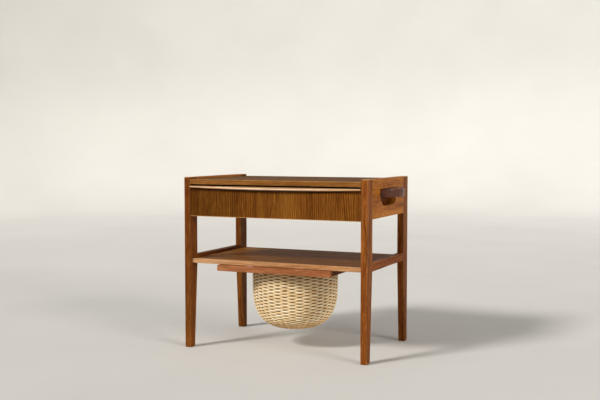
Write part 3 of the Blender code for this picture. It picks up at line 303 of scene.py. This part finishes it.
def make_woods():
    """Oiled teak for the carcase, darker wood for the grips, plain birch inside the drawer."""
    leg_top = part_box("leg_front_right")[1][2]
    front_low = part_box("drawer_front")[0]
    lip_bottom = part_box("drawer_lip")[0][2]
    # A pale band just under the legs' tops: bare end grain and painted highlight.
    pale_tops = (leg_top - 1.4 * MM, leg_top - 0.4 * MM)
    woods = {}
    for axis in "xyz":
        # Birch: pale, close and quiet grain, left dry inside the drawer.
        woods["birch_" + axis] = wood("plain_birch_" + axis, axis, BIRCH, 30, 0.58, streaks=0.2,
                                      pores=0.15, figure=0.35, flecks=0.2, bump=0.15)
    # Oiled solid teak, cut along the leg: red-brown with fine darker lines and a low satin sheen.
    woods["leg"] = wood("oiled_solid_teak_leg", "z", TEAK_LEG, 20, 0.42, figure=0.6, flecks=0.55,
                        pale_ends=pale_tops)
    # Three of the legs take a darker palette than the front right one.
    woods["leg_dark"] = wood("oiled_solid_teak_leg_dark", "z", TEAK_LEG_DARK, 20, 0.42, figure=0.6,
                             flecks=0.55, pale_ends=pale_tops)
    # Oiled solid teak boards: more golden, with a cloudy figure and paler flecks.
    woods["board"] = wood("oiled_solid_teak_board", "y", TEAK_BOARD, 26, 0.42, streaks=0.6,
                          figure=0.6, flecks=0.7)
    # Lower rails and the basket's slide: the same teak, darker and redder, partly the rails' own tone
    # and partly painted shade where these parts lie in shade.
    woods["rail_y"] = wood("oiled_teak_rail_and_painted_shade", "y", TEAK_RAIL_AND_SHADE, 22, 0.45, figure=0.6)
    woods["rail_x"] = wood("oiled_teak_slat_and_painted_shade", "x", TEAK_RAIL_AND_SHADE, 22, 0.45, figure=0.6)
    # The same teak in the pulled bar, rubbed paler and pinker by hands, and dry.
    woods["bar"] = wood("handled_teak_bar", "x", TEAK_BAR, 20, 0.60, streaks=0.5, gloss=0.0)
    # The top's solid edging strips, browned by use, with wide pale arrises, partly wear and partly
    # painted highlight.
    woods["top_lipping"] = wood("darkened_teak_edging", "x", TEAK_TOP_LIPPING, 14, 0.38,
                                streaks=0.5, wear_and_highlight=1.0, pale_arris_mm=2.6)
    # The shelf's solid edging strips, sanded thin of oil, so that they stay paler than the veneer.
    woods["lipping"] = wood("solid_teak_edging", "x", TEAK_LIPPING, 14, 0.38, streaks=0.45,
                            figure=0.45)
    # The drawer's lip: a cream-brown palette that is a painted highlight, a soft gloss, and painted
    # shade on its lower part.
    woods["lip"] = wood("teak_lip_painted_highlight", "x", TEAK_LIP_HIGHLIGHT, 14, 0.26, streaks=0.25, pores=0.2,
                        figure=0.4, flecks=0.4, bump=0.1, gloss=0.4,
                        shadow_heights=(lip_bottom + 4.0 * MM, lip_bottom + 1.8 * MM,
                               lip_bottom - 1.0 * MM, lip_bottom - 2.0 * MM))
    # Sliced teak veneer with upright grain: fine golden and dark brown lines, pale at its lower edge
    # (bare edge and painted highlight), darker towards its left end, and painted shadow under the
    # lip.
    woods["front_veneer"] = wood("sliced_teak_veneer_front", "z", TEAK_VENEER, 5.5, 0.44,
                                 streaks=0.4, figure=0.45, flecks=0.4, lines_mm=5.4,
                                 pale_ends=(front_low[2] + 2.0 * MM, front_low[2] + 1.2 * MM),
                                 shadow_heights=(lip_bottom - 7.5 * MM, lip_bottom - 0.8 * MM,
                                        lip_bottom + 1.0 * MM, lip_bottom + 2.5 * MM),
                                 shadow_back=front_low[1] + 2 * MM,
                                 tone_across=(*ends("drawer_front"), FRONT_TONES))
    # Sliced teak veneer laid lengthwise: calmer figure, slightly greyed by light and wear.
    woods["top_veneer"] = wood("sliced_teak_veneer_top", "x", TEAK_TOP, 30, 0.62, streaks=0.65,
                               figure=0.65, gloss=0.04)
    # The shelf's veneer has lain in the shade, so it keeps its golden brown; the tone laid across it
    # is painted shade, darker towards its right end.
    woods["shelf_veneer"] = wood("sliced_teak_veneer_shelf", "x", TEAK_SHELF, 30, 0.55,
                                 streaks=0.65, figure=0.65, gloss=0.04,
                                 tone_across=(*ends("shelf_panel"), SHELF_PAINTED_SHADE))
    # Dark oiled teak, handled until it is smooth and glossier than the rest.
    woods["grip"] = wood("dark_oiled_teak_grip", "y", DARK_GRIP, 18, 0.36, streaks=0.6, flecks=0.4,
                         bump=0.15, gloss=0.3, wear_and_highlight=0.15)
    return woods


# ---------------------------------------------------------------- steel and cane
BRUSH_MARKS = 900.0        # to the metre, so about 1.1 mm apart: as coarse as they need to show


def make_screw_steel():
    """Plain bright steel, turned: fine brushed roughness, no colour of its own."""
    finish, tree, shader = new_finish("turned_screw_steel")
    place = add_node(tree, "TexCoord").outputs["Object"]
    brushed = add_node(tree, "TexNoise", {"Scale": BRUSH_MARKS, "Detail": 3.0},
                       Vector=place).outputs["Fac"]
    colour = add_node(tree, "ValToRGB", {"stops": ((0.3, "8d8a84"), (0.7, "b9b6ae"))},
                      Fac=brushed).outputs["Color"]
    tree.links.new(colour, shader.inputs["Base Color"])
    set_roughness(tree, shader, 0.25, 0.5, brushed)
    shader.inputs["Metallic"].default_value = 1.0
    return finish


CANE = ("c9a470", "e8cb9a", "f6e3bd", "fcf1d8")
# Painted shade for canes deep behind the others.
CANE_RECESS_SHADE = "744818"
# The basket's rim and lowest point are darkened with painted shade.
CANE_EDGE_SHADE = "d4b07a"
CANE_PATCHES = (14.0, 37.0, 1.0)     # a patch of tone every 70 mm of cane, different for each length
CANE_LINES = (40.0, 900.0, 1.0)      # lines about 1 mm apart, drawn out along the cane


def make_cane(name, palette):
    """Peeled cane: pale cream skin, each length a little different, with fine lengthwise lines.

    U of the UV map runs along a cane in metres; V is different for every length of cane. The
    attribute "recess" is 1 where a cane lies deep behind the others, and there it is darkened with
    painted shade. Towards its rim and its lowest point the basket is darkened with painted shade.
    """
    finish, tree, shader = new_finish(name)
    lengths = add_node(tree, "UVMap", {"uv_map": "cane"}).outputs["UV"]
    along = add_node(tree, "Mapping", {"Scale": CANE_PATCHES}, Vector=lengths).outputs["Vector"]
    lined = add_node(tree, "Mapping", {"Scale": CANE_LINES}, Vector=lengths).outputs["Vector"]
    patch = add_node(tree, "TexNoise", {"Scale": 1.0, "Detail": 3.0, "Roughness": 0.6},
                     Vector=along).outputs["Fac"]
    lines = add_node(tree, "TexNoise", {"Scale": 1.0, "Detail": 3.0}, Vector=lined).outputs["Fac"]
    recess = add_node(tree, "Attribute", {"attribute_name": "recess"}).outputs["Fac"]
    place = add_node(tree, "TexCoord").outputs["Object"]
    height = add_node(tree, "SeparateXYZ", Vector=place).outputs["Z"]

    dark, mid, light, pale = palette
    colour = add_node(tree, "ValToRGB", {"stops": ((0.28, dark), (0.42, mid), (0.56, light),
                                                   (0.74, pale))}, Fac=patch).outputs["Color"]
    # Fine lines along each cane, then painted shade where a cane lies deep behind the others.
    colour, _ = lay_tones(tree, colour, [(lines, 0.5, 0.75, 0.35, dark),
                                         (recess, 0.60, 0.98, 0.95, CANE_RECESS_SHADE)])
    # Painted shade towards the basket's rim and its lowest point.
    edge_shade = [(height, BASKET_RIM - 52 * MM, BASKET_RIM - 14 * MM, 0.9, CANE_EDGE_SHADE),
               (height, BASKET_BOTTOM + 40 * MM, BASKET_BOTTOM + 6 * MM, 0.9, CANE_EDGE_SHADE)]
    colour, _ = lay_tones(tree, colour, edge_shade, "MULTIPLY")
    tree.links.new(colour, shader.inputs["Base Color"])
    set_roughness(tree, shader, 0.42, 0.66, patch)
    relief = add_node(tree, "Bump", {"Strength": 0.3, "Distance": 0.3 * MM},
                      Height=lines).outputs["Normal"]
    tree.links.new(relief, shader.inputs["Normal"])
    shader.inputs["Specular IOR Level"].default_value = 0.2
    return finish


# ---------------------------------------------------------------- finishes onto the frame's nodes
# A node takes the first finish here whose word is in its name: how its board is cut and laid.
BOARD_FINISHES = (
    ("screw", "steel"),
    ("dowel", "birch_x"),
    ("drawer_front", "front_veneer"),
    ("drawer_lip", "lip"),
    # The drawer sides take the rails' darker teak, partly as painted shade seen through the hand
    # holes.
    ("drawer_side", "rail_y"),
    ("drawer_back", "birch_x"),
    ("drawer_bottom", "birch_x"),
    ("shelf_panel", "shelf_veneer"),
    ("shelf_lipping", "lipping"),
    ("top_panel", "top_veneer"),
    ("back_panel", "top_veneer"),
    ("top_lipping", "top_lipping"),
    ("side_grip", "grip"),
    ("side_panel", "board"),
    ("side_rail", "rail_y"),
    ("leg_front_right", "leg"),
    ("leg_", "leg_dark"),
    # The slide's arms and runners take the rails' darker teak as painted shade under the shelf.
    ("slide_arm", "rail_y"),
    ("slide_runner", "rail_y"),
    ("slide_cross", "rail_x"),
    ("slide_front_bar", "bar"),
    ("tray_bottom", "birch_x"),
    ("tray_divider", "birch_x"),
    ("tray_wall", "birch_x"),
    ("tray_ledge", "birch_x"),
    ("", "birch_y"),
)


def finish_frame(finishes):
    """Gives every node of the frame its finish."""
    for name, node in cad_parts.items():
        chosen = next(finish for word, finish in BOARD_FINISHES if word in name)
        node.data.materials.clear()
        node.data.materials.append(finishes[chosen])


# ---------------------------------------------------------------- the woven basket
# Canes that pass in and out of each other have no primitive to start from, so each is laid ring by
# ring along its own path.
WALL_STAKES = 36
FULL_WEAVE_RADIUS = 62 * MM    # rows inside this pass every other stake
HALF_WEAVE_RADIUS = 26 * MM    # rows inside this pass every third
STAKE_LAP = 2 * MM         # how far a stake reaches in past the last row that needs it
CENTRE_START = 2 * MM      # where the innermost stakes begin
STAKE_RADIUS = 1.7 * MM
STAKE_SPACING = 6 * MM     # between the points that a stake is drawn through
STAKE_RECESS = 0.96        # stakes stand deep behind the weavers, so they take almost full painted shade
WEAVER_THICK = 4.95 * MM   # from one row to the next
WEAVER_RADIUS = 2.35 * MM
WEAVER_SPREAD = 0.48       # how much taller a weaver is pressed where it passes a stake
WEAVE_SWING = 2.1 * MM     # how far a weaver swings in and out of the stakes
SWING_RANGE = (0.9, 1.08)  # the swing's share, different for each row
DRIFT_MM = 0.25            # how far a row may rise and fall
SMALLEST_ROW = 8 * MM
WALL_ROW_POINTS = 6        # of a row's path, from one stake to the next
BOTTOM_ROW_POINTS = 8
GROOVE_SHARE = 0.27        # how much painted shade a cane gets where it touches the next row
WALL_INSET = WEAVE_SWING + WEAVER_RADIUS
OUTLINE_STEPS = 240
BOWL_ROUNDNESS = 3.2
BOWL_SHOULDER = 0.158      # height of the shoulder above the basket's lowest point
BORDER_OVERHANG = 10 * MM  # how far the border stands out past the wall
WALL_TOP = 9.5 * MM        # how far the weave ends below the rim
BORDER_WIDTH = 15 * MM
BORDER_HEIGHT = 6.3 * MM
BORDER_STRANDS = 5
BORDER_TURNS = 54          # how often a strand goes round the others on its way round the rim
BORDER_TURN_STEPS = 10
STRAND_RADIUS = 1.75 * MM
CANE_SIDES = 6
CANE_GIRTH = 0.014         # how much of V goes once round a cane
WEAVER_SHIFT = 0.37        # from one weaver's place in V to the next one's
STAKE_SHIFT = 0.53
STRAND_SHIFT = 0.71
STRAND_START = 40          # strands lie past all the weavers in V


def on_basket(radius, turn, height):
    """A point at a radius from the basket's upright axis."""
    return Vector((BASKET_MIDDLE.x + radius * math.cos(turn),
                   BASKET_MIDDLE.y + radius * math.sin(turn), height))


def basket_wall():
    """Points of half the canes' outline, (radius, height), from the bottom's centre up to the rim.

    The wall is upright above its shoulder and a rounded bowl below it.
    """
    bottom = BASKET_BOTTOM + WALL_INSET
    shoulder = BASKET_BOTTOM + BOWL_SHOULDER
    radius = BASKET_RADIUS - BORDER_OVERHANG - WALL_INSET
    points = []
    for step in range(OUTLINE_STEPS + 1):
        angle = math.pi / 2 * step / OUTLINE_STEPS
        across = math.sin(angle) ** (2 / BOWL_ROUNDNESS) if step else 0.0
        down = math.cos(angle) ** (2 / BOWL_ROUNDNESS) if step < OUTLINE_STEPS else 0.0
        points.append((radius * across, shoulder - (shoulder - bottom) * down))
    points.append((radius, BASKET_RIM - WALL_TOP))
    return points


def walk(points, spacing):
    """Places at even spacing along an outline, each (radius, height, outward direction)."""
    places = []
    carried = 0.0
    for (r0, z0), (r1, z1) in zip(points, points[1:]):
        length = math.hypot(r1 - r0, z1 - z0)
        if length < 1e-9:
            continue
        while carried <= length:
            share = carried / length
            out = ((z1 - z0) / length, -(r1 - r0) / length)
            places.append((r0 + (r1 - r0) * share, z0 + (z1 - z0) * share, out))
            carried += spacing
        carried -= length
    return places


def cane_ring(shape, point, ahead, radius, lean, out, recess):
    """One ring of vertices round a cane at a point, square to the direction ahead."""
    if out:
        away = Vector((ahead.y, -ahead.x, 0)).normalized() * out[0] + Vector((0, 0, out[1]))
        aside = (away - ahead * away.dot(ahead)).normalized()
    else:
        aside = ahead.cross(Vector((0, 0, 1)))
        if aside.length < 1e-4:
            aside = ahead.cross(Vector((1, 0, 0)))
        aside.normalize()
    over = aside.cross(ahead)
    taller = 1 + WEAVER_SPREAD * abs(lean)
    recess_layer = shape.verts.layers.float["recess"]
    ring = []
    for side in range(CANE_SIDES):
        angle = FULL_TURN * side / CANE_SIDES
        offset = math.cos(angle) * aside + taller * math.sin(angle) * over
        vert = shape.verts.new(point + radius * offset)
        # The recess value sets the painted shade: behind the stakes and in the groove against the
        # next row.
        groove = GROOVE_SHARE * math.sin(angle) ** 2
        vert[recess_layer] = recess if recess else 0.5 - 0.5 * lean * math.cos(angle) + groove
        ring.append(vert)
    return ring


def round_cane(shape, path, radius, closed, strand, leans=None, out=None, recess=None):
    """Adds one length of cane along a path to a bmesh, with its UVs and its "recess".

    strand is its own place in V. leans, from -1 to 1, says how far inside or outside the wall each
    point lies, and out is the wall's outward direction in (radius, height); the cane is pressed
    taller where it leans either way. recess, where given, is the same all over the cane.
    """
    count = len(path)
    rings = []
    for number, point in enumerate(path):
        if closed:
            ahead = path[(number + 1) % count] - path[number - 1]
        else:
            ahead = path[min(number + 1, count - 1)] - path[max(number - 1, 0)]
        lean = leans[number] if leans else 0.0
        rings.append(cane_ring(shape, point, ahead.normalized(), radius, lean, out, recess))
    uv_layer = shape.loops.layers.uv["cane"]
    travelled = 0.0
    for number in range(count if closed else count - 1):
        here, there = rings[number], rings[(number + 1) % count]
        length = (path[(number + 1) % count] - path[number]).length
        for side in range(CANE_SIDES):
            after = (side + 1) % CANE_SIDES
            face = shape.faces.new((here[side], here[after], there[after], there[side]))
            face.smooth = True
            for loop, (u, v) in zip(face.loops, ((0, 0), (0, 1), (1, 1), (1, 0))):
                loop[uv_layer].uv = (travelled + u * length,
                                     strand + (side + v) / CANE_SIDES * CANE_GIRTH)
        travelled += length
    if not closed:
        shape.faces.new(reversed(rings[0]))
        shape.faces.new(rings[-1])


def new_cane_shape():
    """An empty bmesh with the UV map and the attribute that the cane's finish reads."""
    shape = bmesh.new()
    shape.loops.layers.uv.new("cane")
    shape.verts.layers.float.new("recess")
    return shape


def finish_cane_piece(name, shape, finish):
    """Makes a piece of the basket, which rides on the slide."""
    bmesh.ops.recalc_face_normals(shape, faces=shape.faces)
    mesh = bpy.data.meshes.new(name)
    shape.to_mesh(mesh)
    shape.free()
    mesh.materials.append(finish)
    piece = bpy.data.objects.new(name, mesh)
    bpy.context.scene.collection.objects.link(piece)
    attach(piece, "basket_slide")
    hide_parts("basket")


def stake_count(radius):
    """Stakes that a row weaves around: all on the wall, fewer towards the bottom's centre."""
    if radius > FULL_WEAVE_RADIUS:
        return WALL_STAKES
    return WALL_STAKES // 2 if radius > HALF_WEAVE_RADIUS else WALL_STAKES // 3


def stake_start(stake):
    """How far from the bottom's centre a stake begins, so that no more go in than find room."""
    if stake % 2:
        return FULL_WEAVE_RADIUS - STAKE_LAP
    return HALF_WEAVE_RADIUS - STAKE_LAP if stake % 3 else CENTRE_START


def weave_rows(finish):
    """Round weavers going in and out of the stakes, one ring per row."""
    chance = random.Random(7)
    shape = new_cane_shape()
    for number, (radius, height, out) in enumerate(walk(basket_wall(), WEAVER_THICK)):
        if radius < SMALLEST_ROW:
            continue
        stakes = stake_count(radius)
        steps = stakes * (WALL_ROW_POINTS if stakes == WALL_STAKES else BOTTOM_ROW_POINTS)
        side = 1 if number % 2 else -1
        drift = chance.uniform(-DRIFT_MM, DRIFT_MM) * MM
        swing = WEAVE_SWING * chance.uniform(*SWING_RANGE)
        path = []
        leans = []
        for step in range(steps):
            turn = FULL_TURN * step / steps
            leans.append(side * math.cos(turn * stakes / 2))
            lean = swing * leans[-1]
            rise = lean * out[1] + drift * math.sin(3 * turn + number)
            path.append(on_basket(radius + lean * out[0], turn, height + rise))
        round_cane(shape, path, WEAVER_RADIUS, True, number * WEAVER_SHIFT, leans, out)
    finish_cane_piece("basket_weavers", shape, finish)


def weave_stakes(finish):
    """Upright stakes that the weavers pass, running down the wall and in under the bottom."""
    outline = basket_wall()
    places = [(radius, height) for radius, height, out in walk(outline, STAKE_SPACING)]
    places.append(outline[-1])
    shape = new_cane_shape()
    for stake in range(WALL_STAKES):
        turn = FULL_TURN * stake / WALL_STAKES
        path = [on_basket(radius, turn, height) for radius, height in places
                if radius >= stake_start(stake)]
        round_cane(shape, path, STAKE_RADIUS, False, stake * STAKE_SHIFT, recess=STAKE_RECESS)
    finish_cane_piece("basket_stakes", shape, finish)


def weave_border(finish):
    """Plaited rim: canes laid round each other along the rim, resting on the slide's slats."""
    track = BASKET_RADIUS - BORDER_WIDTH / 2
    level = BASKET_RIM - BORDER_HEIGHT / 2
    half_width = BORDER_WIDTH / 2 - STRAND_RADIUS
    half_height = BORDER_HEIGHT / 2 - STRAND_RADIUS
    steps = BORDER_TURNS * BORDER_TURN_STEPS
    shape = new_cane_shape()
    for strand in range(BORDER_STRANDS):
        path = []
        for step in range(steps):
            turn = FULL_TURN * step / steps
            twist = BORDER_TURNS * turn + FULL_TURN * strand / BORDER_STRANDS
            path.append(on_basket(track + half_width * math.cos(twist), turn,
                                  level + half_height * math.sin(twist)))
        round_cane(shape, path, STRAND_RADIUS, True, STRAND_START + strand * STRAND_SHIFT)
    finish_cane_piece("basket_border", shape, finish)


# ---------------------------------------------------------------- stage, lights and camera
STUDIO_RADIUS = 7.0
STUDIO_CURVE = 1.5
STUDIO_HEIGHT = 3.4
CURVE_STEPS = 12
ROUND_STEPS = 96
FLOOR_CLOUDS = 1.3         # soft clouds in the floor's tone, about 0.8 m across
WORLD_TONE = "e6e4e0"
WORLD_STRENGTH = 0.35
LENS_MM = 54.6
SENSOR_MM = 36.0
CAMERA_SHIFT = 0.0036
CAMERA_PLACE = (1.1714, -2.6024, 0.6210)
CAMERA_DOWN = 3.44         # degrees below level
CAMERA_TURN = 24.06        # degrees round from straight ahead


def make_floor():
    """A pale floor that curves up into a round wall, so that no horizon shows."""
    flat_radius = STUDIO_RADIUS - STUDIO_CURVE
    profile = [(0.0, 0.0), (flat_radius, 0.0)]
    for step in range(1, CURVE_STEPS + 1):
        angle = math.pi / 2 * step / CURVE_STEPS
        profile.append((flat_radius + STUDIO_CURVE * math.sin(angle),
                        STUDIO_CURVE - STUDIO_CURVE * math.cos(angle)))
    profile.append((STUDIO_RADIUS, STUDIO_HEIGHT))
    shape = bmesh.new()
    verts = [shape.verts.new((radius, 0, height)) for radius, height in profile]
    edges = [shape.edges.new(pair) for pair in zip(verts, verts[1:])]
    bmesh.ops.spin(shape, geom=verts + edges, cent=(0, 0, 0), axis=(0, 0, 1), angle=FULL_TURN,
                   steps=ROUND_STEPS, use_merge=True)
    bmesh.ops.remove_doubles(shape, verts=shape.verts, dist=0.1 * MM)
    # The floor faces up and the wall faces in.
    for face in shape.faces:
        face.smooth = True
        if face.normal.z < 0 or face.normal.dot(face.calc_center_median()) > 0.5:
            face.normal_flip()
    mesh = bpy.data.meshes.new("studio_floor")
    shape.to_mesh(mesh)
    shape.free()
    floor = bpy.data.objects.new("studio_floor", mesh)
    bpy.context.scene.collection.objects.link(floor)
    floor.visible_shadow = False
    floor.data.materials.append(make_floor_finish())


def make_floor_finish():
    """Matt studio paper, almost even in tone."""
    finish, tree, shader = new_finish("pale_studio_floor")
    place = add_node(tree, "TexCoord").outputs["Object"]
    cloud = add_node(tree, "TexNoise", {"Scale": FLOOR_CLOUDS, "Detail": 4.0},
                     Vector=place).outputs["Fac"]
    colour = add_node(tree, "ValToRGB", {"stops": ((0.3, "d8d8d7"), (0.7, "dededd"))},
                      Fac=cloud).outputs["Color"]
    tree.links.new(colour, shader.inputs["Base Color"])
    shader.inputs["Roughness"].default_value = 0.75
    shader.inputs["Specular IOR Level"].default_value = 0.1
    return finish


def make_world():
    """Soft light from all round."""
    world = bpy.data.worlds.new("soft_studio")
    bpy.context.scene.world = world
    world.use_nodes = True
    backdrop = world.node_tree.nodes["Background"]
    backdrop.inputs["Color"].default_value = tone(WORLD_TONE)
    backdrop.inputs["Strength"].default_value = WORLD_STRENGTH


def add_sun(name, azimuth, elevation, softness, strength, code):
    """Even light from a direction in degrees; azimuth 0 comes from the front, 90 from the right."""
    light = bpy.data.lights.new(name, "SUN")
    light.angle = math.radians(softness)
    light.energy = strength
    light.color = tone(code)[:3]
    lamp = bpy.data.objects.new(name, light)
    bpy.context.scene.collection.objects.link(lamp)
    turn = math.radians(azimuth)
    rise = math.radians(elevation)
    towards = Vector((math.sin(turn) * math.cos(rise), -math.cos(turn) * math.cos(rise),
                      math.sin(rise)))
    lamp.rotation_euler = towards.to_track_quat("Z", "Y").to_euler()
    lamp.location = towards * STUDIO_RADIUS


def make_lights():
    """A soft key light from the left of the front and a softer, warmer one from the right."""
    add_sun("key_light", azimuth=-33, elevation=35, softness=13, strength=2.4, code="fffaf3")
    add_sun("side_light", azimuth=68, elevation=20, softness=26, strength=1.4, code="fff6e8")


def make_camera():
    """A slightly raised view from the front and a little from the right."""
    camera_data = bpy.data.cameras.new("camera")
    camera_data.lens = LENS_MM
    camera_data.sensor_width = SENSOR_MM
    camera_data.shift_y = CAMERA_SHIFT
    camera = bpy.data.objects.new("camera", camera_data)
    bpy.context.scene.collection.objects.link(camera)
    camera.location = CAMERA_PLACE
    camera.rotation_euler = (math.radians(90 - CAMERA_DOWN), 0.0, math.radians(CAMERA_TURN))
    bpy.context.scene.camera = camera


make_floor()
make_world()
make_lights()
make_camera()
bpy.context.scene.view_settings.view_transform = "Standard"

finish_frame({**make_woods(), "steel": make_screw_steel()})

cane = make_cane("peeled_cane", CANE)
weave_rows(cane)
weave_stakes(cane)
weave_border(cane)
